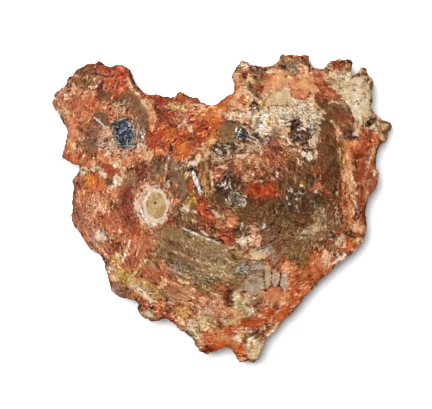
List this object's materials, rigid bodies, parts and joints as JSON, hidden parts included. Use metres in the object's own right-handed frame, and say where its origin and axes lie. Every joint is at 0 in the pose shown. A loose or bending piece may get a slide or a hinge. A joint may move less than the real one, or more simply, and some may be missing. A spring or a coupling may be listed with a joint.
{
  "type": "petrified wood slice",
  "caption": "Heart-shaped slice sawn from a fossil log, with a polished face of red, cream and brown stone, crystal hollows and a rough bark rim.",
  "frame": {"origin": "under the middle of the slice's bounding box, on the surface it rests on", "axes": "+Z out of the polished face, +X towards the pointed side of the larger lobe, +Y towards the bay between the two lobes"},
  "size_m": [0.3428, 0.3108, 0.022],
  "materials": {
    "petrified_wood": "polished sawn face, brick red, salmon, cream and dark brown, with a rough matt rim",
    "smoky_quartz": "glossy blue-black crystal points",
    "milky_quartz": "glossy white and grey crystal points"
  },
  "bodies": {
    "root": {"wood_slice": "petrified_wood", "pocket_crystals": "smoky_quartz", "upper_vug_crystals": "milky_quartz", "middle_vug_crystals": "milky_quartz"}
  },
  "joints": []
}
